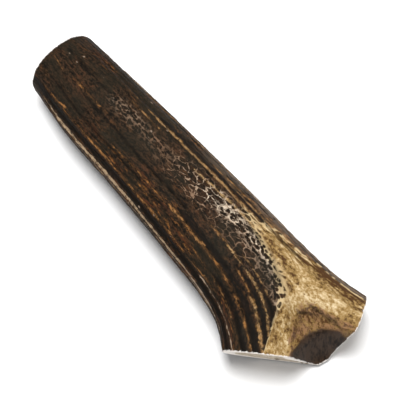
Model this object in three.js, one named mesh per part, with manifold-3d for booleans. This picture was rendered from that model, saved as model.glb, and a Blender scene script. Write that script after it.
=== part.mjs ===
// A sawn length of deer antler: the main beam with the stump of its fork, lying on its side.
// Millimetres, +Z up. The beam runs along X with the fork at +X, and it rests near both ends.
import * as THREE from 'three';
import { mergeVertices } from 'three/addons/utils/BufferGeometryUtils.js';
import Module from 'manifold-3d';

const wasm = await Module();
wasm.setup();

// ---- Driving dimensions ----

// Sections along the beam. x is measured from the thin sawn end.
// [x, half width to the left, half width to the right, height of the top, of the underside, squareness]
const SECTIONS = [
  [-20, 15.0, 15.0, 24.5, -3.5, 2.1],
  [0, 15.6, 16.1, 29.0, 0.0, 2.1],
  [25, 18.6, 17.2, 33.2, 2.4, 2.1],
  [60, 19.3, 19.1, 36.2, 4.0, 2.1],
  [95, 20.6, 21.0, 37.2, 4.0, 2.1],
  [118, 21.8, 22.1, 36.2, 3.0, 2.2],
  [130, 24.6, 22.9, 35.0, 2.2, 2.3],
  [140, 30.4, 23.9, 33.8, 1.2, 2.5],
  [150, 38.5, 25.7, 32.4, 0.5, 2.6],
  [160, 47.0, 28.8, 31.0, 0.0, 2.6],
  [175, 58.0, 35.5, 29.0, -0.8, 2.6],
  [190, 66.0, 43.0, 27.0, -1.6, 2.6],
];

// The crotch: where the web between the two branches drops away, and the hollow that leads into it.
const CROTCH = { x: 157, y: -3, run: 8, drop: 0.9, bendRight: 0.042, bendLeft: 0.012 };
const HOLLOW = { x: 141, run: 16, y: -1, width: 9, depth: 0.2, under: 0.05 };

// The flat saw cuts: a point on each and the direction that its face looks in.
const SAW_CUTS = {
  thinEnd: { point: [1.0, 0, 15], facing: [-1, 0, -0.2] },
  leftBranch: { point: [150.2, -17.8, 13.2], facing: [0.672, -0.721, -0.171] },
  web: { point: [166.0, 2.0, 3.5], facing: [0.98, -0.2, -0.1] },
  rightBranch: { point: [164.1, 18.3, 23.0], facing: [0.884, 0.41, -0.223] },
};

// The bark-like skin: lengthwise ridges, with the swells and broad furrows that run through them.
const RIDGES = 30;
const RIDGE_HEIGHT = 0.42;
const PEARL_HEIGHT = 0.3;
const PEARL_PITCH = 5.6;

// Broad ridges and furrows that follow the beam: [turn at the thin end, at the fork, width, height].
// The turn is in degrees round the beam: 0 is its right side, 90 the top, 180 its left side.
const LONG_SWELLS = [
  [28, 32, 9, -0.3],
  [42, 41, 6, 0.3],
  [50, 47, 6, -0.5],
  [57, 57, 8, 0.6],
  [120, 122, 8, 0.3],
  [141, 143, 7, 0.5],
  [151, 151, 7, -0.6],
  [165, 163, 9, 0.5],
  [180, 177, 8, -0.3],
  [232, 226, 12, -0.6],
  [262, 268, 14, 0.4],
  [318, 322, 13, -0.5],
  [344, 350, 10, 0.5],
];

// The rings that the skin is laid on, closer together at the fork.
const RINGS = { start: -6, fork: 146, end: 180, alongBeam: 60, alongFork: 24 };

// ---- The skin ----

const section = new THREE.CubicInterpolant(
  SECTIONS.map((row) => row[0]),
  SECTIONS.flatMap((row) => row.slice(1)),
  5
);

const { clamp, euclideanModulo, lerp, radToDeg, smoothstep } = THREE.MathUtils;

const bell = (distance, width) => Math.exp(-((distance / width) ** 2));

// How far the long ridge lines wander sideways, so that they bend, close up and open out.
function wander(x, turn) {
  return 0.05 * Math.sin(3 * turn + x / 19) + 0.03 * Math.sin(5 * turn - x / 12 + 1);
}

// Height of the skin over its smooth section, where a ridge has wandered from its own turn to this one.
function relief(x, ridgeTurn, turn) {
  const along = clamp(x / 160, 0, 1);
  const pearled = bell(turn - 1.6, 0.9) * smoothstep(x, 20, 60);
  const ridge = Math.cos(RIDGES * ridgeTurn);
  const strength = 0.65 + 0.35 * Math.sin(x / 11 + 4 * Math.sin(3 * ridgeTurn + 1));
  const beads = Math.sin((2 * Math.PI * x) / PEARL_PITCH + 9 * Math.sin(4 * ridgeTurn));
  let height = RIDGE_HEIGHT * strength * ridge;
  height += PEARL_HEIGHT * pearled * beads * Math.max(ridge, 0);
  for (const [startTurn, endTurn, width, swell] of LONG_SWELLS) {
    const away = radToDeg(turn) - lerp(startTurn, endTurn, along ** 2);
    height += swell * bell(euclideanModulo(away + 180, 360) - 180, width);
  }
  return height * lerp(0.3, 1, smoothstep(x, 0, 25));
}

// A point of the skin; reach is 1 on the surface and 0 on the middle line of the beam.
function skinPoint(x, ridgeTurn, reach) {
  const [left, right, top, under, squareness] = section.evaluate(x);
  const turn = ridgeTurn + wander(x, ridgeTurn);
  const across = Math.cos(turn);
  const up = Math.sin(turn);
  const halfHeight = (top - under) / 2;
  const middle = (top + under) / 2;
  const corner = (Math.abs(across) ** squareness + Math.abs(up) ** squareness) ** (-1 / squareness);
  const outward = across * corner;
  const upward = Math.abs(up) * corner;
  const smoothY = outward * (across > 0 ? right : left);

  // The web between the branches: the top falls to the underside, and the underside is a little hollow.
  const bend = smoothY > CROTCH.y ? CROTCH.bendRight : CROTCH.bendLeft;
  const edge = CROTCH.x + bend * (smoothY - CROTCH.y) ** 2;
  const hollow = bell(smoothY - HOLLOW.y, HOLLOW.width) * smoothstep(x, HOLLOW.x, HOLLOW.x + HOLLOW.run);
  const fall = CROTCH.drop * smoothstep(x, edge, edge + CROTCH.run);
  const kept = (1 - fall) * (1 - HOLLOW.depth * hollow);

  const lift = relief(x, ridgeTurn, turn) * (1 - 0.6 * hollow);
  const y = smoothY + outward * lift;
  const rise = upward * (halfHeight + lift);
  const bottomZ = middle - rise + 2 * halfHeight * HOLLOW.under * hollow;
  const topZ = bottomZ + (middle + rise - bottomZ) * kept;
  const z = up > 0 ? topZ : bottomZ;
  return new THREE.Vector3(x, y * reach, lerp(middle, z, reach));
}

// ---- Solids ----

// A closed three.js geometry as a solid that can be cut.
function solid(geometry) {
  const bare = geometry.clone();
  bare.deleteAttribute('normal');
  bare.deleteAttribute('uv');
  const merged = mergeVertices(bare, 1e-4);
  return new wasm.Manifold(
    new wasm.Mesh({
      numProp: 3,
      vertProperties: new Float32Array(merged.attributes.position.array),
      triVerts: new Uint32Array(merged.index.array),
    })
  );
}

// The block that a saw cut takes away: its near face is the cut.
function offcut({ point, facing }) {
  const size = 260;
  const block = new THREE.BoxGeometry(size, size, size).translate(0, 0, size / 2);
  const direction = new THREE.Vector3(...facing).normalize();
  block.applyQuaternion(new THREE.Quaternion().setFromUnitVectors(new THREE.Vector3(0, 0, 1), direction));
  return solid(block.translate(...point));
}

// Where along the beam a ring of the grid sits.
function ringPlace(ring) {
  const { start, fork, end, alongBeam, alongFork } = RINGS;
  if (ring < alongBeam) {
    return lerp(start, fork, ring / alongBeam);
  }
  return lerp(fork, end, (ring - alongBeam) / alongFork);
}

// The whole grown length, still uncut at both ends, is a ribbed cylinder bent to the sections.
function grownBeam() {
  const rings = RINGS.alongBeam + RINGS.alongFork;
  const beam = new THREE.CylinderGeometry(1, 1, rings, 2 * RIDGES, rings);
  const position = beam.attributes.position;
  for (let i = 0; i < position.count; i += 1) {
    const across = position.getX(i);
    const up = -position.getZ(i);
    const x = ringPlace(position.getY(i) + rings / 2);
    const point = skinPoint(x, Math.atan2(up, across), Math.min(1, Math.hypot(across, up)));
    position.setXYZ(i, point.x, point.y, point.z);
  }
  return solid(beam);
}

function toGeometry(manifold) {
  const mesh = manifold.getMesh();
  const geometry = new THREE.BufferGeometry();
  geometry.setAttribute('position', new THREE.BufferAttribute(new Float32Array(mesh.vertProperties), 3));
  geometry.setIndex(new THREE.BufferAttribute(new Uint32Array(mesh.triVerts), 1));
  geometry.computeVertexNormals();
  return geometry;
}

// The origin is the middle of the ground that the antler covers.
function standOnOrigin(geometry) {
  geometry.computeBoundingBox();
  const { min, max } = geometry.boundingBox;
  return geometry.translate(-(min.x + max.x) / 2, -(min.y + max.y) / 2, -min.z);
}

const antlerSolid = Object.values(SAW_CUTS).reduce((body, cut) => body.subtract(offcut(cut)), grownBeam());

const antler = new THREE.Mesh(
  standOnOrigin(toGeometry(antlerSolid)),
  new THREE.MeshStandardMaterial({ color: 0x5d4733, roughness: 0.7, metalness: 0 })
);
antler.name = 'antler';

const part = new THREE.Group();
part.add(antler);

export default part;
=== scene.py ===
"""A sawn length of deer antler, the main beam with the stump of its fork, lying on a pale floor.

The antler is one piece. Its skin is a grid rolled into a tube through the sections of the beam, raised into
ridges and a net of pearls, and sawn flat at both ends. The pattern that raises the skin also colours it, so
that the rubbed crests are pale and the pits between them dark.
"""
from math import cos, degrees, exp, pi, radians, sin, tau
from types import SimpleNamespace

import bmesh
import bpy
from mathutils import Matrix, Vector, noise


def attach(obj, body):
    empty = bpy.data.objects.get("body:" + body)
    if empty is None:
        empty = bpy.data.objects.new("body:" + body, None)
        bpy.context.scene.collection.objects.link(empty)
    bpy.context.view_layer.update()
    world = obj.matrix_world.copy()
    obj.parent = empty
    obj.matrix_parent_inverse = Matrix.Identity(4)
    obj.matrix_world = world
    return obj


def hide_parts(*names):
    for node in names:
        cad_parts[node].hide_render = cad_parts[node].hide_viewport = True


MM = 0.001

# ---- The beam, in millimetres from its thin sawn end, as the solid has it ----

# Each row: x, half width to the left and to the right, height of the top and of the underside, squareness.
SECTIONS = [
    [-20, 15.0, 15.0, 24.5, -3.5, 2.1],
    [0, 15.6, 16.1, 29.0, 0.0, 2.1],
    [25, 18.6, 17.2, 33.2, 2.4, 2.1],
    [60, 19.3, 19.1, 36.2, 4.0, 2.1],
    [95, 20.6, 21.0, 37.2, 4.0, 2.1],
    [118, 21.8, 22.1, 36.2, 3.0, 2.2],
    [130, 24.6, 22.9, 35.0, 2.2, 2.3],
    [140, 30.4, 23.9, 33.8, 1.2, 2.5],
    [150, 38.5, 25.7, 32.4, 0.5, 2.6],
    [160, 47.0, 28.8, 31.0, 0.0, 2.6],
    [175, 58.0, 35.5, 29.0, -0.8, 2.6],
    [190, 66.0, 43.0, 27.0, -1.6, 2.6],
]

# The web between the branches drops away at the crotch, and a hollow that leads into it smooths the ridges.
CROTCH = dict(x=157, y=-3, run=8, drop=0.9, bend_right=0.042, bend_left=0.012)
HOLLOW = dict(x=141, run=16, y=-1, width=9, depth=0.2, under=0.05, smoothing=0.6)

# The flat saw cuts: a point on each and the direction that its face looks in.
THIN_END = ((1.0, 0, 15), (-1, 0, -0.2))
LEFT_BRANCH = ((150.2, -17.8, 13.2), (0.672, -0.721, -0.171))
WEB = ((166.0, 2.0, 3.5), (0.98, -0.2, -0.1))
RIGHT_BRANCH = ((164.1, 18.3, 23.0), (0.884, 0.41, -0.223))
SAW_CUTS = [THIN_END, LEFT_BRANCH, WEB, RIGHT_BRANCH]

# Where the middle of the ground that the antler covers lies, seen from the thin end.
STANDS_AT = Vector((82.823, -0.855, 0.234))

# Lengthwise ridges. Each swells and fades along the beam, and all are low at the thin end.
RIDGES = 30
RIDGE_HEIGHT = 0.16
RIDGE_FADES = dict(mean=0.65, swing=0.35, length=11)
RIDGES_FULL_FROM = 25
THIN_END_SHARE = 0.3

# Broad swells that follow the beam: [turn at the thin end, at the fork, width in degrees, height].
# The turn is in degrees round the beam: 0 is its right side, 90 the top, 180 its left side.
BEAM_LENGTH = 160
LONG_SWELLS = [
    [28, 32, 9, -0.3],
    [42, 41, 6, 0.3],
    [50, 47, 6, -0.5],
    [57, 57, 8, 0.6],
    [120, 122, 8, 0.3],
    [141, 143, 7, 0.5],
    [151, 151, 7, -0.6],
    [165, 163, 9, 0.5],
    [180, 177, 8, -0.3],
    [232, 226, 12, -0.6],
    [262, 268, 14, 0.4],
    [318, 322, 13, -0.5],
    [344, 350, 10, 0.5],
]

# The ridge lines wander sideways in two waves: [turn in radians, waves round, mm along to a radian, start].
WANDER_WAVES = [[0.05, 3, 19, 0], [0.03, 5, -12, 1]]

# The grid of the skin: rings along the beam, closer together at the fork, and steps round it, closer
# together at the top. Its two long edges are joined where they meet.
RINGS = dict(start=-4, fork=146, end=172, along_beam=300, along_fork=64)
STEPS_ROUND = 250
TOP_CROWDING = 0.25
SEAM_GAP = 0.01

# ---- The zones of the skin ----

# Each zone is laid out by lines of (x, value) along the beam. The value is a turn in degrees for a middle or
# an edge, a number of degrees for a reach or a fade, and 0 to 1 for a share.
PEARL_MIDDLE = [(0, 84), (50, 84), (72, 82), (86, 81), (110, 80), (125, 82), (136, 92), (142, 97), (150, 104)]
PEARL_REACH = [(0, 14), (50, 16), (66, 14), (76, 17), (110, 18), (125, 15), (136, 6), (142, 3), (150, 1)]
# The ivory band along the net's middle: partly its own pale colour, partly a painted highlight on the pearls.
IVORY_MIDDLE = [(0, 76), (70, 76), (90, 76), (100, 72.5), (112, 72), (122, 72), (132, 80), (142, 92)]
IVORY_SHARE = [
    (30, 0), (37, 0.15), (46, 0.15), (56, 0), (66, 0), (86, 0.4),
    (92, 1), (106, 0.95), (111, 0.45), (116, 0.9), (128, 0.9), (136, 0.4),
]
IVORY_WIDTH = 11
LACY_MIDDLE = [(60, 82), (98, 78), (110, 76), (124, 76), (132, 85), (142, 95), (150, 104)]
LACY_SHARE = [(28, 0), (36, 0.9), (60, 0.8), (74, 0), (92, 0), (104, 1)]
LACY_WIDTH = 9
GOLD_TOP = [
    (92, 60), (100, 64), (108, 69), (120, 76), (128, 83),
    (136, 95), (142, 104), (150, 116), (154, 123),
]
GOLD_FADE = [(92, 4), (108, 12), (120, 14), (127, 18), (132, 28), (140, 32), (145, 7), (150, 2)]
GOLD_BOTTOM = [(108, 54), (126, 53), (132, 52), (138, 46), (150, 46), (170, 45)]
BRIGHT_MIDDLE = [(120, 57), (132, 58), (139, 61), (143, 78), (148, 76), (151, 65), (158, 60), (166, 56)]
BRIGHT_REACH = [(120, 3), (132, 3), (139, 4), (143, 15), (148, 15), (151, 8), (158, 6), (166, 5)]

# Where the fork changes colour, as the (turn, x) line of its near edge.
VALLEY_EDGE = [
    (58, 180), (64, 168), (68, 160), (72, 151), (77, 147),
    (86, 146.5), (94, 149), (102, 154), (110, 164),
]
LENS_EDGE = [(66, 178), (71, 167), (76, 162), (82, 157.5), (90, 155.5), (97, 155.8), (103, 157.5), (110, 166)]

# Between which two places along the beam a zone comes in, or goes out where the first is the larger.
PEARLS_COME_IN = (22, 42)
WIDE_CELLS_COME_IN = (54, 80)
GOLD_COMES_IN = (94, 126)
GOLD_COMES_IN_ON_FLANK = 108
BRIGHT_COMES_IN = (108, 134)
BRIGHT_GOES_OUT = (172, 152)

# How far above the gold's lower edge, in degrees, it starts later, ends, and turns to the streaked flank.
GOLD_STARTS_LATER = (4, -2)
GOLD_ENDS = (-12.5, -6)
FLANK_STARTS = (7, -6)

# How soft the edges of a band are, as a share of its reach.
PEARLS_SOFT = 0.3
BRIGHT_SOFT = 0.7

# The upper side of the beam. Its soft edge is a share of its reach.
TOP_SIDE = dict(turn=90, reach=75, edge=(1.1, 0.9))

# Smaller zones. An edge is in mm past the zone's line, and along is where the zone comes in or goes out.
BRANCH_BRIGHT = dict(turn=104, width=9, share=0.6, along=(136, 146))
# A painted grey sheen along the beam's right flank, where light grazes it: its turn, width and where it comes
# in.
GREY_SHEEN_BAND = dict(turn=22, width=18, along=(30, 100))
VALLEY = dict(edge=(-2.5, 2.5), brown=0.8, rim_brown=0.25, rim=1.5, rim_width=2)
LENS = dict(edge=(-1.5, 2.5))
STREAKS = dict(net_turn=85, beside_net=(20, 45), start=10, full=90, along=(115, 135), lost=0.6)
STREAKS_AT_RIGHT = dict(turns=(70, 50), start=-40)

# Crests rubbed to a thin line: [half width in mm, how pale it is, points].
WORN_LINES = [
    [0.45, 0.5, [(50, 58), (65, 57.5), (86, 56.5), (104, 57), (125, 57)]],
    [0.25, 0.7, [(80, 70), (90, 67.5), (100, 65), (112, 65), (124, 64)]],
    [0.35, 0.3, [(82, 44), (100, 42), (116, 42), (132, 43)]],
    [0.3, 0.35, [(92, 47.5), (112, 46.5), (126, 45)]],
    [0.1, 0.15, [(100, 38), (130, 38), (150, 40)]],
    [-0.1, 0.3, [(30, 57), (41, 57)]],
    [0.25, 0.1, [(9, 143), (18, 140), (21, 137)]],
    [-0.1, 0.0, [(22, 141), (30, 141)]],
    [0.25, 0.15, [(36, 140), (50, 141), (62, 141), (72, 142), (92, 141.5)]],
    [0.15, 0.15, [(92, 141.5), (104, 145), (118, 142)]],
    [0.12, 1.0, [(112, 149), (124, 150), (134, 147), (144, 143)]],
    [0.35, 0.2, [(84, 119), (98, 120), (105, 120)]],
    [0.2, 0.1, [(105, 120), (116, 121), (128, 125)]],
    [0.12, 0.2, [(128, 125), (142, 126), (150, 126)]],
    [-0.1, 0.1, [(94, 131), (104, 131), (112, 135)]],
    [0.0, 0.2, [(122, 108), (134, 112.5)]],
    [0.42, 0.5, [(134, 112.5), (140, 115), (147, 117.5), (154, 119)]],
    [0.15, 0.6, [(112, 100), (127, 102), (134, 103.5), (142, 107.5), (148, 112)]],
    [0.1, 0.2, [(102, 99), (109, 99)]],
    [-0.1, 0.5, [(118, 94), (128, 96), (136, 99)]],
    [0.0, 0.1, [(17, 102), (28, 102), (36, 102)]],
    [-0.1, 0.1, [(1, 101), (8, 105)]],
    [0.0, 0.1, [(50, 123), (62, 121), (80, 121)]],
    [0.0, 0.1, [(66, 131), (80, 132)]],
    [0.0, 0.3, [(40, 66), (56, 66)]],
    [-0.05, 0.3, [(118, 134), (134, 137), (146, 136)]],
    [0.55, 0.85, [(14, 162.5), (60, 161.5), (104, 162)]],
    [0.4, 0.95, [(104, 162), (120, 166), (138, 167)]],
    [0.1, 0.9, [(30, 169), (70, 168), (110, 170), (140, 172)]],
    [0.3, 0.7, [(10, 178), (60, 176), (120, 180), (140, 178)]],
    [0.3, 0.3, [(6, 204), (50, 200), (96, 206), (150, 203)]],
    [0.4, 0.1, [(20, 228), (70, 232), (120, 226), (156, 230)]],
    [0.3, 0.4, [(10, 252), (60, 247), (110, 250), (160, 256)]],
    [0.3, 0.2, [(4, -62), (60, -66), (110, -60), (160, -64)]],
    [0.4, 0.4, [(14, -34), (70, -30), (120, -36), (160, -30)]],
    [0.3, 0.1, [(8, -8), (60, -12), (100, -6), (160, -12)]],
    [0.5, 0.9, [(10, 17), (60, 15), (110, 15), (150, 18)]],
    [0.2, 0.4, [(30, 26), (80, 23), (130, 25), (156, 26)]],
]
# Smooth dark furrows beside them.
DARK_LINES = [
    [1.0, [(55, 51), (84, 50.5), (110, 50.5)]],
    [0.5, [(108, 50.5), (130, 50)]],
    [1.6, [(3, 151), (60, 150), (100, 150)]],
    [1.3, [(98, 152), (120, 155), (142, 152)]],
    [1.0, [(92, 114), (110, 115), (124, 117), (140, 120.5), (150, 122)]],
    [0.9, [(122, 106.5), (132, 108), (140, 111), (149, 115)]],
    [0.9, [(118, 97), (130, 99), (140, 103), (147, 109)]],
    [0.9, [(120, 131), (132, 132), (147, 131)]],
    [0.8, [(56, 31), (90, 32), (130, 33)]],
    [0.2, [(8, 124), (40, 127), (84, 125)]],
    [0.2, [(24, 106), (60, 108), (88, 106)]],
    [0.1, [(4, 78), (30, 82), (44, 80)]],
    [0.6, [(151, 76), (156, 73.5), (161, 72)]],
    [0.5, [(148.2, 88), (150.5, 82), (153, 78)]],
    [0.2, [(116, 54), (130, 53.5)]],
    [1.2, [(10, 216), (60, 214), (110, 218), (156, 216)]],
    [1.1, [(16, 240), (80, 240), (150, 243)]],
    [1.2, [(8, -48), (70, -50), (156, -46)]],
    [1.1, [(20, -20), (80, -22), (150, -20)]],
]

# The grain of the skin runs along a plain round rod of this radius. A line on it tapers past its ends, and
# widens with the fork.
GRAIN_RADIUS = 18
LINE_TAPER = 0.2
LINE_WIDENING = 0.6
LINES_WIDEN = (128, 160)
FARTHEST_LINE = 9.0

# The skin carries a value under each of these names.
ZONES = [
    "pearled", "ivory", "lacy", "wide", "gold", "flank", "bright", "valley", "lens", "streaked", "dusty",
    "worn_gap", "worn_pale", "dark_gap",
]

# ---- Light and view: places in mm, sizes in metres, power in watts ----

VIEW = dict(target=(6.3, 6.1, 15.1), distance=600, azimuth=49.6, elevation=71.0, lens=127.7)
NEAREST_SEEN = 0.01
SOFTBOX = dict(place=(-65, 5, 900), size=0.38, power=9.9)
WHITE = (1, 1, 1, 1)
WALL_LIGHT = 0.39
FLOOR_WHITE = (0.9, 0.9, 0.9, 1)
FLOOR_ROUGHNESS = 0.9
FLOOR_REACH = 3


def srgb(red, green, blue):
    """A colour given as 0 to 255, as the linear colour that a shader takes."""
    shares = [value / 255 for value in (red, green, blue)]
    return (*[s / 12.92 if s < 0.04045 else ((s + 0.055) / 1.055) ** 2.4 for s in shares], 1.0)


def clamp(value, low=0.0, high=1.0):
    return max(low, min(high, value))


def smoothstep(value, low, high):
    t = clamp((value - low) / (high - low))
    return t * t * (3 - 2 * t)


def bell(distance, width):
    return exp(-((distance / width) ** 2))


def lerp(a, b, t):
    return a + (b - a) * t


def height_at(points, x):
    """The height at x of the broken line through points, level past its ends."""
    for (x0, y0), (x1, y1) in zip(points, points[1:]):
        if x <= x1:
            return lerp(y0, y1, clamp((x - x0) / (x1 - x0)))
    return points[-1][1]


# ---- The shape of the skin ----


def section(x):
    """The section at x, on a smooth curve through the rows of SECTIONS."""
    i = next(k for k in range(1, len(SECTIONS) - 2) if x < SECTIONS[k + 1][0])
    before, here, there, after = SECTIONS[i - 1 : i + 3]
    span = there[0] - here[0]
    t = (x - here[0]) / span
    values = []
    for k in range(1, len(here)):
        slope_in = (here[k] - before[k]) / (here[0] - before[0])
        slope = (there[k] - here[k]) / span
        slope_out = (after[k] - there[k]) / (after[0] - there[0])
        value = (1 + 2 * t) * (1 - t) ** 2 * here[k] + t * t * (3 - 2 * t) * there[k]
        value += t * (1 - t) ** 2 * span * (slope_in + slope) / 2
        value += t * t * (t - 1) * span * (slope + slope_out) / 2
        values.append(value)
    return values


def wander(x, turn):
    """How far the ridge lines wander sideways, so that they bend, close up and open out."""
    return sum(reach * sin(waves * turn + x / along + start) for reach, waves, along, start in WANDER_WAVES)


def ridge_lift(x, turn, bent):
    """Height of the long ridges and swells over the smooth section."""
    along = clamp(x / BEAM_LENGTH) ** 2
    fade = sin(x / RIDGE_FADES["length"] + 4 * sin(3 * turn + 1))
    strength = RIDGE_FADES["mean"] + RIDGE_FADES["swing"] * fade
    lift = RIDGE_HEIGHT * strength * cos(RIDGES * turn)
    for start, end, width, height in LONG_SWELLS:
        away = (degrees(bent) - lerp(start, end, along) + 180) % 360 - 180
        lift += height * bell(away, width)
    return lift * lerp(THIN_END_SHARE, 1, smoothstep(x, 0, RIDGES_FULL_FROM))


def skin_point(x, turn, bent, sizes):
    """A point of the skin: sizes are its section's, and bent is the turn with the wander of the ridges."""
    left, right, top, under, square = sizes
    across, up = cos(bent), sin(bent)
    corner = (abs(across) ** square + abs(up) ** square) ** (-1 / square)
    half, middle = (top - under) / 2, (top + under) / 2
    outward, upward = across * corner, abs(up) * corner
    smooth_y = outward * (right if across > 0 else left)

    bend = CROTCH["bend_right"] if smooth_y > CROTCH["y"] else CROTCH["bend_left"]
    edge = CROTCH["x"] + bend * (smooth_y - CROTCH["y"]) ** 2
    hollow = bell(smooth_y - HOLLOW["y"], HOLLOW["width"])
    hollow *= smoothstep(x, HOLLOW["x"], HOLLOW["x"] + HOLLOW["run"])
    fall = CROTCH["drop"] * smoothstep(x, edge, edge + CROTCH["run"])
    kept = (1 - fall) * (1 - HOLLOW["depth"] * hollow)

    lift = ridge_lift(x, turn, bent) * (1 - HOLLOW["smoothing"] * hollow)
    rise = upward * (half + lift)
    bottom = middle - rise + 2 * half * HOLLOW["under"] * hollow
    z = bottom + (middle + rise - bottom) * kept if up > 0 else bottom
    return Vector((x, smooth_y + outward * lift, z))


def gap_to_line(half_width, points, x, angle):
    """How far, in mm of skin, a place is outside a line."""
    past = max(points[0][0] - x, x - points[-1][0], 0.0)
    widened = 1 + LINE_WIDENING * smoothstep(x, *LINES_WIDEN)
    sideways = abs(angle - height_at(points, x)) * radians(GRAIN_RADIUS) * widened
    return sideways + LINE_TAPER * past - half_width


def band(middle, reach, x, angle, soft):
    """1 inside a band round the beam and 0 outside it."""
    away = abs(angle - height_at(middle, x)) / height_at(reach, x)
    return smoothstep(away, 1 + soft, 1 - soft)


def on_top(angle):
    """1 on the upper side of the beam and 0 on its underside."""
    return smoothstep(abs(angle - TOP_SIDE["turn"]) / TOP_SIDE["reach"], *TOP_SIDE["edge"])


def gold_at(x, angle):
    """How fully the top of the fork is rubbed to gold: it starts later on the beam's right flank."""
    depth = (height_at(GOLD_TOP, x) - angle) / height_at(GOLD_FADE, x)
    above_flank = angle - height_at(GOLD_BOTTOM, x)
    start, full = GOLD_COMES_IN
    start = lerp(start, GOLD_COMES_IN_ON_FLANK, smoothstep(above_flank, *GOLD_STARTS_LATER))
    return smoothstep(depth, 0, 1) * smoothstep(above_flank, *GOLD_ENDS) * smoothstep(x, start, full)


def bright_at(x, angle):
    """How pale the gold is: along its middle, and again beside the left branch."""
    middle = band(BRIGHT_MIDDLE, BRIGHT_REACH, x, angle, BRIGHT_SOFT)
    middle = middle * smoothstep(x, *BRIGHT_COMES_IN) * smoothstep(x, *BRIGHT_GOES_OUT)
    beside = BRANCH_BRIGHT["share"] * bell(angle - BRANCH_BRIGHT["turn"], BRANCH_BRIGHT["width"])
    return max(middle, beside * smoothstep(x, *BRANCH_BRIGHT["along"]))


def valley_at(x, angle):
    """How brown the valley of the fork is, darkest just inside its edge."""
    inside = x - height_at(VALLEY_EDGE, angle)
    brown = VALLEY["brown"] + VALLEY["rim_brown"] * bell(inside - VALLEY["rim"], VALLEY["rim_width"])
    return smoothstep(inside, *VALLEY["edge"]) * brown * on_top(angle)


def streaked_at(x, angle):
    """How strongly rusty fibres show beside the net. At the right they start before the thin end."""
    beside = smoothstep(abs(angle - STREAKS["net_turn"]), *STREAKS["beside_net"])
    at_right = smoothstep(angle, *STREAKS_AT_RIGHT["turns"])
    start = lerp(STREAKS["start"], STREAKS_AT_RIGHT["start"], at_right)
    kept = 1 - STREAKS["lost"] * smoothstep(x, *STREAKS["along"])
    return beside * smoothstep(x, start, STREAKS["full"]) * kept


def zones_at(x, angle):
    """How strongly each zone of the skin shows at a place."""
    worn_gap, worn_pale = min((gap_to_line(w, points, x, angle), pale) for w, pale, points in WORN_LINES)
    dark_gap = min(gap_to_line(w, points, x, angle) for w, points in DARK_LINES)
    return dict(
        pearled=band(PEARL_MIDDLE, PEARL_REACH, x, angle, PEARLS_SOFT) * smoothstep(x, *PEARLS_COME_IN),
        ivory=bell(angle - height_at(IVORY_MIDDLE, x), IVORY_WIDTH) * height_at(IVORY_SHARE, x),
        lacy=bell(angle - height_at(LACY_MIDDLE, x), LACY_WIDTH) * height_at(LACY_SHARE, x),
        wide=smoothstep(x, *WIDE_CELLS_COME_IN),
        gold=gold_at(x, angle),
        flank=smoothstep(angle - height_at(GOLD_BOTTOM, x), *FLANK_STARTS),
        bright=bright_at(x, angle),
        valley=valley_at(x, angle),
        lens=smoothstep(x - height_at(LENS_EDGE, angle), *LENS["edge"]) * on_top(angle),
        streaked=streaked_at(x, angle),
        dusty=bell(angle - GREY_SHEEN_BAND["turn"], GREY_SHEEN_BAND["width"]) * smoothstep(x, *GREY_SHEEN_BAND["along"]),
        worn_gap=min(worn_gap, FARTHEST_LINE),
        worn_pale=worn_pale,
        dark_gap=min(dark_gap, FARTHEST_LINE),
    )


def ring_place(share):
    """Where along the beam a share of the rings has been laid."""
    ring = share * (RINGS["along_beam"] + RINGS["along_fork"])
    if ring < RINGS["along_beam"]:
        return lerp(RINGS["start"], RINGS["fork"], ring / RINGS["along_beam"])
    return lerp(RINGS["fork"], RINGS["end"], (ring - RINGS["along_beam"]) / RINGS["along_fork"])


def rolled_skin():
    """The uncut skin: a flat grid rolled through the sections, with its zones as attributes."""
    bm = bmesh.new()
    rings = RINGS["along_beam"] + RINGS["along_fork"]
    bmesh.ops.create_grid(bm, x_segments=rings, y_segments=STEPS_ROUND, size=0.5)
    layers = {name: bm.verts.layers.float.new(name) for name in ZONES}
    grain = bm.verts.layers.float_vector.new("grain")
    sizes = {}
    for vert in bm.verts:
        along, around = vert.co.x + 0.5, vert.co.y + 0.5
        x = ring_place(along)
        key = round(along, 6)
        if key not in sizes:
            sizes[key] = section(x)
        turn = tau * around - pi / 2 + TOP_CROWDING * sin(tau * around)
        bent = turn + wander(x, turn)
        vert.co = skin_point(x, turn, bent, sizes[key]) * MM
        vert[grain] = (x, GRAIN_RADIUS * cos(turn), GRAIN_RADIUS * sin(turn))
        for name, value in zones_at(x, degrees(bent)).items():
            vert[layers[name]] = value
    bmesh.ops.remove_doubles(bm, verts=bm.verts[:], dist=SEAM_GAP * MM)
    bmesh.ops.recalc_face_normals(bm, faces=bm.faces[:])
    return to_object(bm, "skin")


def to_object(bm, name):
    """Makes a finished bmesh an object at the origin."""
    mesh = bpy.data.meshes.new(name)
    bm.to_mesh(mesh)
    bm.free()
    obj = bpy.data.objects.new(name, mesh)
    bpy.context.collection.objects.link(obj)
    return obj


# ---- Nodes ----


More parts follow.
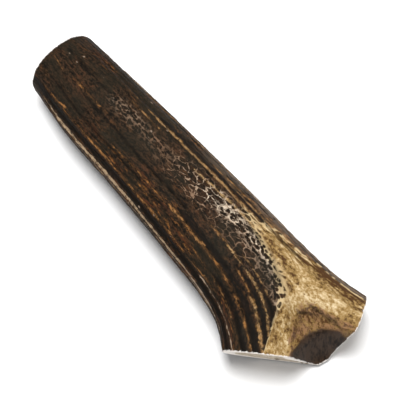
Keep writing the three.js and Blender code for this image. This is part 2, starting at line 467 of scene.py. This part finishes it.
class Nodes:
    """Adds nodes to a shader tree or a geometry tree, which know the same textures and maths."""

    def __init__(self, tree):
        self.tree = tree

    def add(self, kind, inputs=None, **settings):
        node = self.tree.nodes.new(kind)
        for name, value in settings.items():
            setattr(node, name, value)
        for key, value in (inputs or {}).items():
            self.feed(node.inputs[key], value)
        return node

    def feed(self, socket, value):
        if isinstance(value, bpy.types.NodeSocket):
            self.tree.links.new(value, socket)
        else:
            socket.default_value = value

    def math(self, operation, *values):
        node = self.add("ShaderNodeMath", dict(enumerate(values)), operation=operation)
        return node.outputs[0]

    def times(self, first, *others):
        for value in others:
            first = self.math("MULTIPLY", first, value)
        return first

    def plus(self, first, *others):
        for value in others:
            first = self.math("ADD", first, value)
        return first

    def less(self, first, second):
        return self.math("SUBTRACT", first, second)

    def blend(self, *shares):
        """The sum of several values, each with its own share."""
        return self.plus(*[self.times(value, share) for value, share in shares])

    def swing(self, noise, reach):
        """A noise, which runs from 0 to 1, made to swing about 0."""
        return self.times(self.less(noise, 0.5), reach)

    def most(self, first, second):
        return self.math("MAXIMUM", first, second)

    def vector(self, operation, *values):
        node = self.add("ShaderNodeVectorMath", dict(enumerate(values)), operation=operation)
        return node.outputs[0]

    def attribute(self, name, vector=False):
        if self.tree.bl_idname == "ShaderNodeTree":
            node = self.add("ShaderNodeAttribute", attribute_name=name)
            return node.outputs["Vector" if vector else "Fac"]
        kind = "FLOAT_VECTOR" if vector else "FLOAT"
        node = self.add("GeometryNodeInputNamedAttribute", {"Name": name}, data_type=kind)
        return node.outputs["Attribute"]

    def noise(self, place, stretch, detail=2.0, roughness=0.5, output=0):
        """Noise with stretch waves per mm along, across and up: output 0 is a value and 1 a colour."""
        inputs = {"Vector": self.vector("MULTIPLY", place, stretch), "Scale": 1.0}
        inputs.update({"Detail": detail, "Roughness": roughness})
        return self.add("ShaderNodeTexNoise", inputs).outputs[output]

    def shake(self, place, stretch, reach, detail=2.0):
        """The place moved about by noise, by up to reach mm each way."""
        colour = self.noise(place, stretch, detail=detail, output=1)
        move = self.vector("MULTIPLY", self.vector("SUBTRACT", colour, (0.5, 0.5, 0.5)), reach)
        return self.vector("ADD", place, move)

    def cells(self, place, stretch, feature="DISTANCE_TO_EDGE", flat=False):
        """How far a place is from the border of its cell, or from its middle for the feature F1."""
        inputs = {"Vector": self.vector("MULTIPLY", place, stretch), "Scale": 1.0}
        sides = "2D" if flat else "3D"
        return self.add("ShaderNodeTexVoronoi", inputs, feature=feature, voronoi_dimensions=sides).outputs[0]

    def unrolled(self, place):
        """The place on the skin laid flat: along the beam and round it, in mm."""
        parts = self.add("ShaderNodeSeparateXYZ", {0: place}).outputs
        turn = self.math("ARCTAN2", parts[2], parts[1])
        return self.add("ShaderNodeCombineXYZ", {0: parts[0], 1: self.times(turn, GRAIN_RADIUS)}).outputs[0]

    def step(self, value, low, high, to_low=0.0, to_high=1.0):
        """The value softly stepped, from to_low at low to to_high at high."""
        inputs = {"Value": value, "From Min": low, "From Max": high, "To Min": to_low, "To Max": to_high}
        return self.add("ShaderNodeMapRange", inputs, interpolation_type="SMOOTHSTEP").outputs[0]

    def mix(self, share, first, second):
        """A mix of two colours: the node has sockets of its own for each type, and 6 and 7 are its colours."""
        node = self.add("ShaderNodeMix", data_type="RGBA")
        for key, value in ((0, share), (6, first), (7, second)):
            self.feed(node.inputs[key], value)
        return node.outputs[2]


# ---- The fine relief, in mm ----

NET_HEIGHT = 0.28
FIBRE_HEIGHT = 0.25
WORN_HEIGHT = 0.22
FURROW_DEPTH = 0.3
ROUGH_HEIGHT = 0.5

# The relief is low at the thin end and full from this place on.
FULL_RELIEF_FROM = 9.0
END_RELIEF = 0.15

# The cells of the net and of its pits, and the noises that bend the pattern, in waves per mm.
WIDE_CELLS = (0.24, 0.48, 0.48)
PIT_CELLS = (0.5, 1.02, 0.0)
CELL_SHAKE = (0.26, 0.5, 0.5)
GRAIN_SHAKE = (0.06, 0.16, 0.16)
THREAD_NOISE = dict(stretch=(0.4, 0.8, 0.8), detail=3.0, roughness=0.6)
WOBBLE_NOISE = dict(stretch=(0.25, 0.6, 0.6), detail=5.0, roughness=0.75)
FIBRE_NOISE = dict(stretch=(0.12, 1.0, 1.0), detail=4.0, roughness=0.6)
ROUGH_NOISE = dict(stretch=(0.3, 0.7, 0.7), detail=3.0)

# How far, in mm, the noises bend the wide cells, the pits and the grain.
RAGGED_BY = (2.6, 1.4, 1.4)
ROUNDED_BY = (1.8, 0.9, 0.9)
BENT_BY = (2.0, 3.0, 3.0)

# How far a line's edge wobbles, and how far outside it a line starts and inside it is full.
LINE_WOBBLE = 2.9
WORN_EDGE = (0.35, -0.2)
DARK_EDGE = (0.8, -0.5)


def net_of_ridges(nodes, skin):
    """The net round the pearls: thin threads round wide cells, and thick walls round the pits of its middle."""
    thickness = nodes.noise(skin.grain, **THREAD_NOISE)
    closing = nodes.plus(nodes.times(skin.gold, 0.28), nodes.step(skin.gold, 0.85, 1.0, 0.0, 0.12))

    ragged = nodes.shake(skin.grain, CELL_SHAKE, RAGGED_BY)
    border = nodes.less(nodes.cells(ragged, WIDE_CELLS), nodes.plus(nodes.swing(thickness, 0.3), closing))
    threads = nodes.times(nodes.step(border, 0.06, 0.0), skin.wide, nodes.step(skin.lacy, 1.2, 0.2))

    rounded = nodes.shake(skin.grain, CELL_SHAKE, ROUNDED_BY, detail=1.0)
    pits = nodes.cells(nodes.unrolled(rounded), PIT_CELLS, "F1", flat=True)
    walls = nodes.step(nodes.plus(pits, nodes.swing(thickness, 0.4), closing), 0.48, 0.59)
    return nodes.most(threads, nodes.times(walls, skin.lacy))


def skin_pattern(nodes):
    """What raises the skin and also colours it: its zones, long fibres, net of ridges and worn lines."""
    skin = SimpleNamespace(**{name: nodes.attribute(name) for name in ZONES})
    skin.grain = nodes.attribute("grain", vector=True)
    skin.bent = nodes.shake(skin.grain, GRAIN_SHAKE, BENT_BY)
    skin.fibre = nodes.step(nodes.noise(skin.bent, **FIBRE_NOISE), 0.56, 0.64)
    skin.net = net_of_ridges(nodes, skin)
    wobble = nodes.swing(nodes.noise(skin.grain, **WOBBLE_NOISE), LINE_WOBBLE)
    skin.worn = nodes.step(nodes.plus(skin.worn_gap, wobble), *WORN_EDGE)
    skin.dark = nodes.step(nodes.plus(skin.dark_gap, wobble), *DARK_EDGE)
    return skin


def relief_height(nodes):
    """How far the fine relief raises the skin at each place."""
    skin = skin_pattern(nodes)
    smooth = nodes.most(skin.lens, skin.valley)
    plain = nodes.less(1.0, nodes.most(skin.pearled, nodes.most(smooth, nodes.times(skin.gold, 0.7))))
    rough = nodes.less(nodes.noise(skin.grain, **ROUGH_NOISE), 0.5)
    height = nodes.plus(
        nodes.times(skin.net, nodes.most(skin.pearled, skin.gold), NET_HEIGHT),
        nodes.times(skin.fibre, plain, FIBRE_HEIGHT),
        nodes.times(skin.worn, WORN_HEIGHT),
        nodes.times(skin.dark, -FURROW_DEPTH),
        nodes.times(rough, nodes.less(1.0, nodes.times(smooth, 0.5)), ROUGH_HEIGHT),
    )
    along = nodes.add("ShaderNodeSeparateXYZ", {0: skin.grain}).outputs[0]
    return nodes.times(height, nodes.step(along, 0.0, FULL_RELIEF_FROM, END_RELIEF, 1.0), MM)


def raised(skin):
    """The skin's mesh with its fine relief raised in it."""
    tree = bpy.data.node_groups.new("antler relief", "GeometryNodeTree")
    tree.interface.new_socket("Geometry", in_out="INPUT", socket_type="NodeSocketGeometry")
    tree.interface.new_socket("Geometry", in_out="OUTPUT", socket_type="NodeSocketGeometry")
    nodes = Nodes(tree)
    normal = nodes.add("GeometryNodeInputNormal").outputs[0]
    offset = nodes.add("ShaderNodeVectorMath", {0: normal, "Scale": relief_height(nodes)}, operation="SCALE")
    inside = nodes.add("NodeGroupInput").outputs["Geometry"]
    moved = nodes.add("GeometryNodeSetPosition", {"Geometry": inside, "Offset": offset.outputs[0]})
    nodes.add("NodeGroupOutput", {"Geometry": moved.outputs["Geometry"]})

    skin.modifiers.new("relief", "NODES").node_group = tree
    mesh = bpy.data.meshes.new_from_object(skin.evaluated_get(bpy.context.evaluated_depsgraph_get()))
    bpy.data.objects.remove(skin)
    bpy.data.node_groups.remove(tree)
    return mesh


# ---- The saw cuts ----

# The bone is the piece's second material, and each sawn face is laid in this many rings.
BONE = 1
CUT_RINGS = 26
MIDDLE_GAP = 0.001

# How near the plane of a cut, in metres, a corner and the middle of a face count as on it.
CORNER_ON_CUT = 1e-7
FACE_ON_CUT = 1e-6

# How far in from the rim, in mm, the close wall of the bone turns to its spongy core, and how the core's
# pores are sunk. The last is how far into its cell a pore starts and is full, where 1 is the cell's size.
CORE_EDGE = (3.5, 6.0)
PORE_SIZE = 1.5
PORE_DEPTH = 0.7
PORE_EDGE = (0.12, 0.45)


def sawn_flat(bm, point, facing):
    """Saws off what is past a plane and closes the cut with bone."""
    everything = bm.verts[:] + bm.edges[:] + bm.faces[:]
    normal = Vector(facing).normalized()
    cut = bmesh.ops.bisect_plane(
        bm, geom=everything, dist=CORNER_ON_CUT, plane_co=Vector(point) * MM, plane_no=normal, clear_outer=True
    )
    rim = [edge for edge in cut["geom_cut"] if isinstance(edge, bmesh.types.BMEdge) and edge.is_boundary]
    filled = bmesh.ops.triangle_fill(bm, use_beauty=True, edges=rim, normal=normal)["geom"]
    for face in filled:
        if isinstance(face, bmesh.types.BMFace):
            face.material_index = BONE


def close_ends(bm):
    """Closes both open ends of the tube before it is sawn."""
    open_edges = [edge for edge in bm.edges if edge.is_boundary]
    bmesh.ops.holes_fill(bm, edges=open_edges, sides=0)


def inside_cut(place, point, facing):
    """How far a place is inside a saw cut's plane."""
    return (Vector(point) * MM - place).dot(Vector(facing).normalized())


def faces_of_cut(bm, point, facing):
    """The bone faces that lie in a saw cut."""
    bone = [face for face in bm.faces if face.material_index == BONE]
    return [face for face in bone if abs(inside_cut(face.calc_center_median(), point, facing)) < FACE_ON_CUT]


def spongy_face(bm, point, facing, core, pore):
    """Lays a sawn face again as rings that shrink to its middle, and marks its spongy core and its pores."""
    faces = faces_of_cut(bm, point, facing)
    area = sum(face.calc_area() for face in faces)
    middle = sum((face.calc_center_median() * face.calc_area() for face in faces), Vector()) / area
    old_faces = set(faces)
    rim = [edge for face in faces for edge in face.edges if not old_faces.issuperset(edge.link_faces)]
    bmesh.ops.delete(bm, geom=faces, context="FACES_KEEP_BOUNDARY")
    for ring in range(1, CUT_RINGS + 1):
        laid = bmesh.ops.extrude_edge_only(bm, edges=rim)["geom"]
        rim = [item for item in laid if isinstance(item, bmesh.types.BMEdge)]
        for face in laid:
            if isinstance(face, bmesh.types.BMFace):
                face.material_index = BONE
        verts = [item for item in laid if isinstance(item, bmesh.types.BMVert)]
        rings_left = CUT_RINGS - ring
        for vert in verts:
            vert.co = vert.co.lerp(middle, 1 / (rings_left + 1))
            vert[core] = 1.0
            if rings_left:
                from_rim = (vert.co - middle).length * ring / rings_left / MM
                vert[core] = smoothstep(from_rim, *CORE_EDGE)
            near, far = noise.voronoi(vert.co / (PORE_SIZE * MM))[0][:2]
            vert[pore] = vert[core] * smoothstep(far - near, *PORE_EDGE)
    bmesh.ops.remove_doubles(bm, verts=verts, dist=MIDDLE_GAP * MM)


def sawn_antler(skin_mesh):
    """The raised skin closed and sawn, with bone on its cuts, laid where the antler stands."""
    bm = bmesh.new()
    bm.from_mesh(skin_mesh)
    bpy.data.meshes.remove(skin_mesh)
    close_ends(bm)
    for point, facing in SAW_CUTS:
        sawn_flat(bm, point, facing)
    core, pore, cut_gap = [bm.verts.layers.float.new(name) for name in ("core", "pore", "cut_gap")]
    for vert in bm.verts:
        vert[cut_gap] = min(inside_cut(vert.co, point, facing) for point, facing in SAW_CUTS) / MM
    for point, facing in (THIN_END, LEFT_BRANCH, RIGHT_BRANCH):
        spongy_face(bm, point, facing, core, pore)
    bmesh.ops.recalc_face_normals(bm, faces=bm.faces[:])
    for edge in bm.edges:
        edge.smooth = len({face.material_index for face in edge.link_faces}) == 1
    for face in bm.faces:
        face.smooth = True
    bm.normal_update()
    sunk = [(vert, vert.normal * vert[pore] * PORE_DEPTH * MM) for vert in bm.verts if vert[pore] > 0]
    for vert, depth in sunk:
        vert.co -= depth
    bmesh.ops.translate(bm, verts=bm.verts[:], vec=-STANDS_AT * MM)
    return to_object(bm, "antler_piece")


# ---- Finishes ----

PITCH_BROWN = srgb(16, 13, 10)
EARTH_BROWN = srgb(60, 47, 34)
OLIVE_BLACK = srgb(34, 31, 24)
RED_BROWN = srgb(78, 42, 25)
RUST = srgb(142, 93, 47)
TAN = srgb(122, 95, 74)
# Grey for pale specks on the skin, and for a painted sheen and painted glints.
SPECK_AND_SHEEN_GREY = srgb(132, 114, 98)
IVORY_HIGHLIGHT = srgb(220, 203, 179)
CREAM = srgb(226, 210, 178)
SAND = srgb(166, 144, 122)
GOLD = srgb(192, 168, 127)
OLD_GOLD = srgb(147, 118, 71)
BARK_BROWN = srgb(76, 52, 31)
VALLEY_BROWN = srgb(68, 44, 34)
CLAY_BROWN = srgb(132, 98, 68)
LENS_BROWN = srgb(66, 51, 40)
SAWN_BONE = srgb(238, 232, 226)
WALL_BONE = srgb(222, 213, 202)
CORE_TAN = srgb(208, 196, 178)
CORE_BROWN = srgb(172, 154, 130)
PORE_BROWN = srgb(96, 76, 56)

# The noises that mottle the skin, in waves per mm along the beam, across it and up.
FINE_NOISE = dict(stretch=(0.4, 2.6, 2.6), detail=4.0, roughness=0.7)
GRIT_NOISE = dict(stretch=(0.8, 1.8, 1.8), detail=5.0, roughness=0.75)
PATCH_NOISE = dict(stretch=(0.05, 0.12, 0.12))
CLOT_NOISE = dict(stretch=(0.4, 0.8, 0.8), detail=4.0, roughness=0.75)
STREAK_NOISE = dict(stretch=(0.05, 1.4, 1.4), detail=3.0, roughness=0.6)
LONG_STREAK_NOISE = dict(stretch=(0.07, 0.75, 0.75), detail=5.0, roughness=0.65)
HAIR_NOISE = dict(stretch=(0.3, 3.2, 3.2), detail=3.0, roughness=0.6)
BREAK_NOISE = dict(stretch=(0.24, 0.4, 0.4))
# The cells of the painted glints, tiny pale dots on the skin.
GLINT_CELLS = (0.11, 0.2, 0.2)

# Where the second set of streaks is read, so that it doesn't repeat the first.
ELSEWHERE = (40, 9, -7)

# The noises of sawn bone.
BONE_GRIT = dict(stretch=(1.1, 1.1, 1.1), detail=4.0, roughness=0.7)
BONE_CLOUD = dict(stretch=(0.15, 0.15, 0.15), detail=3.0)
SAW_MARKS = dict(stretch=(0.3, 0.3, 5.0))

# How strongly each finish shines, how rough it is, and its finest bumps.
SKIN_SHINE = 0.04
SKIN_ROUGHNESS = (0.5, 0.7)
SKIN_BUMP = dict(Strength=0.5, Distance=0.25 * MM)
BONE_SHINE = 0.2
BONE_ROUGHNESS = 0.7
BONE_BUMP = dict(Strength=0.4, Distance=0.1 * MM)


def new_material(name):
    """A material with nothing in it but its shader, and the nodes to fill it with."""
    material = bpy.data.materials.new(name)
    material.use_nodes = True
    material.node_tree.nodes.clear()
    nodes = Nodes(material.node_tree)
    shader = nodes.add("ShaderNodeBsdfPrincipled")
    nodes.add("ShaderNodeOutputMaterial", {"Surface": shader.outputs[0]})
    return material, nodes, shader


def mottled_pattern(nodes):
    """The pattern of the skin, with the noises that mottle its colours."""
    skin = skin_pattern(nodes)
    elsewhere = nodes.vector("ADD", skin.bent, ELSEWHERE)
    skin.fine = nodes.noise(skin.bent, **FINE_NOISE)
    skin.grit = nodes.noise(skin.grain, **GRIT_NOISE)
    skin.patch = nodes.noise(skin.grain, **PATCH_NOISE)
    skin.clot = nodes.noise(skin.bent, **CLOT_NOISE)
    skin.streak = nodes.noise(skin.bent, **STREAK_NOISE)
    skin.long_streak = nodes.noise(elsewhere, **LONG_STREAK_NOISE)
    skin.hair = nodes.noise(elsewhere, **HAIR_NOISE)
    skin.breaks = nodes.noise(skin.grain, **BREAK_NOISE)
    return skin


def weathered(nodes, skin):
    """Weathered skin: dark, mottled and finely streaked, with rusty fibres on the sides of the beam."""
    mottle = nodes.blend((skin.grit, 0.45), (skin.clot, 0.35), (skin.long_streak, 0.2))
    colour = nodes.mix(nodes.step(mottle, 0.42, 0.6), PITCH_BROWN, EARTH_BROWN)
    ruddy = nodes.times(nodes.step(skin.clot, 0.5, 0.62), nodes.step(skin.grit, 0.42, 0.56))
    colour = nodes.mix(nodes.times(ruddy, 0.4), colour, RED_BROWN)
    colour = nodes.mix(nodes.times(nodes.step(skin.patch, 0.56, 0.4), 0.6), colour, OLIVE_BLACK)
    reddish = nodes.times(
        nodes.step(skin.long_streak, 0.5, 0.62),
        nodes.step(skin.patch, 0.4, 0.6),
        nodes.step(skin.grit, 0.4, 0.55),
        nodes.step(skin.streaked, 0.0, 0.6, 0.3, 0.85),
    )
    colour = nodes.mix(reddish, colour, RED_BROWN)
    rust = nodes.times(
        skin.fibre,
        nodes.step(skin.patch, 0.36, 0.56),
        nodes.step(nodes.plus(skin.grit, skin.clot), 0.88, 1.12),
        nodes.plus(nodes.times(skin.streaked, 0.85), 0.12),
    )
    return nodes.mix(rust, colour, RUST)


def with_worn_lines(nodes, skin, colour):
    """Smooth dark furrows, and the crests beside them rubbed rusty to golden, and sandy where palest."""
    colour = nodes.mix(nodes.times(skin.dark, 0.85), colour, PITCH_BROWN)
    halo = nodes.times(nodes.step(skin.worn_gap, 1.2, 0.0), nodes.step(skin.grit, 0.42, 0.58))
    colour = nodes.mix(nodes.times(halo, 0.4), colour, BARK_BROWN)

    golden = nodes.mix(nodes.step(skin.fine, 0.35, 0.65), OLD_GOLD, GOLD)
    crest = nodes.mix(skin.worn_pale, RUST, golden)
    crest = nodes.mix(nodes.step(skin.worn_pale, 0.7, 0.95), crest, SAND)
    gaps = nodes.step(nodes.blend((skin.grit, 0.6), (skin.clot, 0.4)), 0.4, 0.54, 0.1, 1.0)
    breaks = nodes.step(skin.breaks, 0.42, 0.56, 0.15, 1.0)
    unbroken = nodes.most(breaks, nodes.step(skin.worn_pale, 0.3, 0.6))
    return nodes.mix(nodes.times(skin.worn, gaps, unbroken), colour, crest)


def rubbed_gold(nodes, skin):
    """The rubbed top of the fork: golden, with brown threads along it."""
    thread = nodes.blend((skin.clot, 0.4), (skin.long_streak, 0.2), (skin.grit, 0.4))
    shade = nodes.plus(nodes.times(skin.bright, 1.05), nodes.swing(thread, 16.0))
    streaks = nodes.less(nodes.plus(skin.long_streak, skin.streak), 1.0)
    streaks = nodes.less(nodes.times(streaks, 12.0), 1.0)
    shade = nodes.plus(shade, nodes.times(skin.flank, streaks))
    colour = nodes.mix(nodes.step(shade, -1.0, 0.3), BARK_BROWN, OLD_GOLD)
    colour = nodes.mix(nodes.step(shade, 0.3, 1.6), colour, GOLD)
    return nodes.mix(nodes.step(shade, 1.3, 3.0), colour, CREAM)


def with_sheen_specks_and_glints(nodes, skin, colour):
    """A painted grey sheen streaked along the right flank, small pale specks, and painted glints as tiny pale
    dots.
    """
    # The painted sheen: grey streaks along the right flank.
    sheen_streaks = nodes.times(skin.dusty, nodes.step(nodes.plus(skin.hair, skin.long_streak), 0.85, 1.15), 0.75)
    colour = nodes.mix(sheen_streaks, colour, SPECK_AND_SHEEN_GREY)
    before_cells = nodes.less(1.0, skin.wide)
    specks = nodes.times(skin.lacy, before_cells, nodes.step(nodes.plus(skin.grit, skin.hair), 1.08, 1.24), 0.6)
    colour = nodes.mix(specks, colour, SPECK_AND_SHEEN_GREY)
    # Painted glints: tiny pale dots scattered over the skin.
    glints = nodes.step(nodes.cells(skin.bent, GLINT_CELLS, "F1"), 0.08, 0.05)
    return nodes.mix(nodes.times(glints, nodes.step(skin.grit, 0.42, 0.5)), colour, SPECK_AND_SHEEN_GREY)


def with_net(nodes, skin, colour, gold_finish):
    """The net round the pearls: tan at its borders, ivory along its middle with a painted highlight on it,
    golden where it meets the fork.
    """
    # Along the ivory band the ridges are paler: partly their own colour, partly a painted highlight.
    whitened = nodes.blend((skin.grit, 0.5), (skin.clot, 0.5))
    ridges = nodes.mix(nodes.times(skin.ivory, nodes.step(whitened, 0.42, 0.56)), TAN, IVORY_HIGHLIGHT)
    ridges = nodes.mix(nodes.step(skin.gold, 0.0, 0.2), ridges, GOLD)
    ridges = nodes.mix(nodes.step(skin.gold, 0.3, 0.8), ridges, gold_finish)

    in_gold = nodes.step(skin.gold, 0.2, 0.7)
    fleck = nodes.mix(in_gold, PITCH_BROWN, BARK_BROWN)
    pale_fleck = nodes.mix(0.5, BARK_BROWN, OLD_GOLD)
    fleck = nodes.mix(nodes.step(nodes.plus(skin.grit, skin.clot), 0.9, 1.12), fleck, pale_fleck)
    pits = nodes.mix(nodes.times(skin.ivory, 0.35), colour, PITCH_BROWN)
    pits = nodes.mix(in_gold, pits, fleck)

    full = nodes.most(nodes.step(skin.gold, 0.0, 0.5), nodes.step(skin.patch, 0.35, 0.55, 0.5, 1.0))
    netted = nodes.mix(nodes.times(skin.net, full), pits, ridges)
    pearled = nodes.times(skin.pearled, nodes.step(whitened, 0.4, 0.5, 0.3, 1.0))
    return nodes.mix(nodes.most(pearled, nodes.step(skin.gold, 0.02, 0.3)), colour, netted)


def with_crotch(nodes, skin, colour):
    """The brown valley of the fork with its furrows, and the dark steep face of the crotch."""
    blotch = nodes.plus(nodes.swing(skin.clot, 8.0), nodes.swing(skin.grit, 5.0))
    mottled = nodes.plus(skin.valley, nodes.times(blotch, nodes.step(skin.valley, 0.0, 0.5)))
    clay = nodes.plus(skin.grit, skin.fine, nodes.less(0.8, skin.valley))
    clay = nodes.mix(nodes.step(clay, 0.84, 1.06), VALLEY_BROWN, CLAY_BROWN)
    colour = nodes.mix(nodes.times(nodes.step(mottled, 0.3, 1.1), 0.9), colour, clay)
    furrowed = nodes.most(skin.valley, nodes.times(skin.flank, skin.gold))
    colour = nodes.mix(nodes.times(skin.dark, furrowed, 0.8), colour, PITCH_BROWN)
    steep = nodes.step(nodes.plus(skin.lens, nodes.times(blotch, 0.2)), 0.25, 0.75)
    return nodes.mix(steep, colour, nodes.mix(nodes.step(blotch, -2.0, 0.8), PITCH_BROWN, LENS_BROWN))


def with_saw_chips(nodes, skin, colour):
    """A thin pale edge where the saw has chipped the skin."""
    chipped = nodes.plus(nodes.attribute("cut_gap"), nodes.swing(skin.grit, 2.5))
    return nodes.mix(nodes.times(nodes.step(chipped, 0.35, 0.1), 0.8), colour, SAWN_BONE)


def antler_skin():
    """Dark weathered skin, rubbed to tan and gold on its crests and at the top of the fork."""
    material, nodes, shader = new_material("antler skin")
    skin = mottled_pattern(nodes)
    colour = with_worn_lines(nodes, skin, weathered(nodes, skin))
    colour = with_sheen_specks_and_glints(nodes, skin, colour)
    colour = with_net(nodes, skin, colour, rubbed_gold(nodes, skin))
    colour = with_crotch(nodes, skin, colour)
    colour = with_saw_chips(nodes, skin, colour)

    relief = nodes.plus(skin.fine, nodes.times(skin.grit, 0.6))
    bump = nodes.add("ShaderNodeBump", {"Height": relief, **SKIN_BUMP})
    nodes.feed(shader.inputs["Base Color"], colour)
    nodes.feed(shader.inputs["Roughness"], nodes.step(skin.fine, 0.2, 0.8, *SKIN_ROUGHNESS))
    nodes.feed(shader.inputs["Normal"], bump.outputs[0])
    shader.inputs["Specular IOR Level"].default_value = SKIN_SHINE
    return material


def sawn_bone():
    """Bone sawn flat: pale and close at the wall, brown and full of pores at the core."""
    material, nodes, shader = new_material("sawn bone")
    metres = nodes.add("ShaderNodeTexCoord").outputs["Object"]
    place = nodes.vector("MULTIPLY", metres, (1 / MM, 1 / MM, 1 / MM))
    grit = nodes.noise(place, **BONE_GRIT)
    wall = nodes.mix(nodes.step(grit, 0.35, 0.6), WALL_BONE, SAWN_BONE)
    sponge = nodes.mix(nodes.step(grit, 0.35, 0.65), CORE_BROWN, CORE_TAN)
    cloud = nodes.noise(place, **BONE_CLOUD)
    edge = nodes.plus(nodes.attribute("core"), nodes.swing(cloud, 1.2))
    colour = nodes.mix(nodes.step(edge, 0.2, 0.9), wall, sponge)
    colour = nodes.mix(nodes.times(nodes.attribute("pore"), 0.9), colour, PORE_BROWN)
    saw_marks = nodes.noise(place, **SAW_MARKS)
    bump = nodes.add("ShaderNodeBump", {"Height": saw_marks, **BONE_BUMP})
    nodes.feed(shader.inputs["Base Color"], colour)
    nodes.feed(shader.inputs["Normal"], bump.outputs[0])
    shader.inputs["Roughness"].default_value = BONE_ROUGHNESS
    shader.inputs["Specular IOR Level"].default_value = BONE_SHINE
    return material


def floor_paint():
    """Plain matt white."""
    material, _, shader = new_material("white floor")
    shader.inputs["Base Color"].default_value = FLOOR_WHITE
    shader.inputs["Roughness"].default_value = FLOOR_ROUGHNESS
    return material


# ---- The studio ----


def aimed(obj, place, target):
    """Puts a lamp or the camera at a place, looking at a target."""
    obj.location = place
    obj.rotation_euler = (target - place).to_track_quat("-Z", "Y").to_euler()
    bpy.context.collection.objects.link(obj)
    return obj


def overhead_softbox():
    """One round soft lamp, high over the antler and a little to its thin end."""
    lamp = bpy.data.lights.new("overhead softbox", "AREA")
    lamp.shape = "DISK"
    lamp.size = SOFTBOX["size"]
    lamp.energy = SOFTBOX["power"]
    return aimed(bpy.data.objects.new("overhead softbox", lamp), Vector(SOFTBOX["place"]) * MM, Vector())


def camera_over_antler():
    """The camera, looking steeply down at the antler from the left of its thick end."""
    azimuth, elevation = radians(VIEW["azimuth"]), radians(VIEW["elevation"])
    target = Vector(VIEW["target"]) * MM
    back = Vector((sin(azimuth) * cos(elevation), -cos(azimuth) * cos(elevation), sin(elevation)))
    lens = bpy.data.cameras.new("camera")
    lens.lens = VIEW["lens"]
    lens.clip_start = NEAREST_SEEN
    return aimed(bpy.data.objects.new("camera", lens), target + back * VIEW["distance"] * MM, target)


def white_walls():
    """The even light of a white studio."""
    world = bpy.data.worlds.new("studio walls")
    world.use_nodes = True
    background = world.node_tree.nodes["Background"]
    background.inputs["Color"].default_value = WHITE
    background.inputs["Strength"].default_value = WALL_LIGHT
    return world


def studio_floor():
    """A plain pale floor that reaches past what the camera sees."""
    bm = bmesh.new()
    bmesh.ops.create_grid(bm, x_segments=1, y_segments=1, size=FLOOR_REACH)
    floor = to_object(bm, "floor")
    floor.data.materials.append(floor_paint())
    return floor


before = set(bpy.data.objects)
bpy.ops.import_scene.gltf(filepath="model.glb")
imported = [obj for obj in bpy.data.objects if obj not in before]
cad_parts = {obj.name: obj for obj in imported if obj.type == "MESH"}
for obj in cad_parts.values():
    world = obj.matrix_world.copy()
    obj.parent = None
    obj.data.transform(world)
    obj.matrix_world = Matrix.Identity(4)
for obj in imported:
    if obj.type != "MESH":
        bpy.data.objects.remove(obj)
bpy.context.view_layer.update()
bpy.context.scene.view_settings.view_transform = "Standard"
bpy.context.scene.camera = camera_over_antler()
bpy.context.scene.world = white_walls()
overhead_softbox()
floor = studio_floor()

antler = sawn_antler(raised(rolled_skin()))
antler.data.materials.append(antler_skin())
antler.data.materials.append(sawn_bone())
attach(antler, "root")
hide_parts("antler")
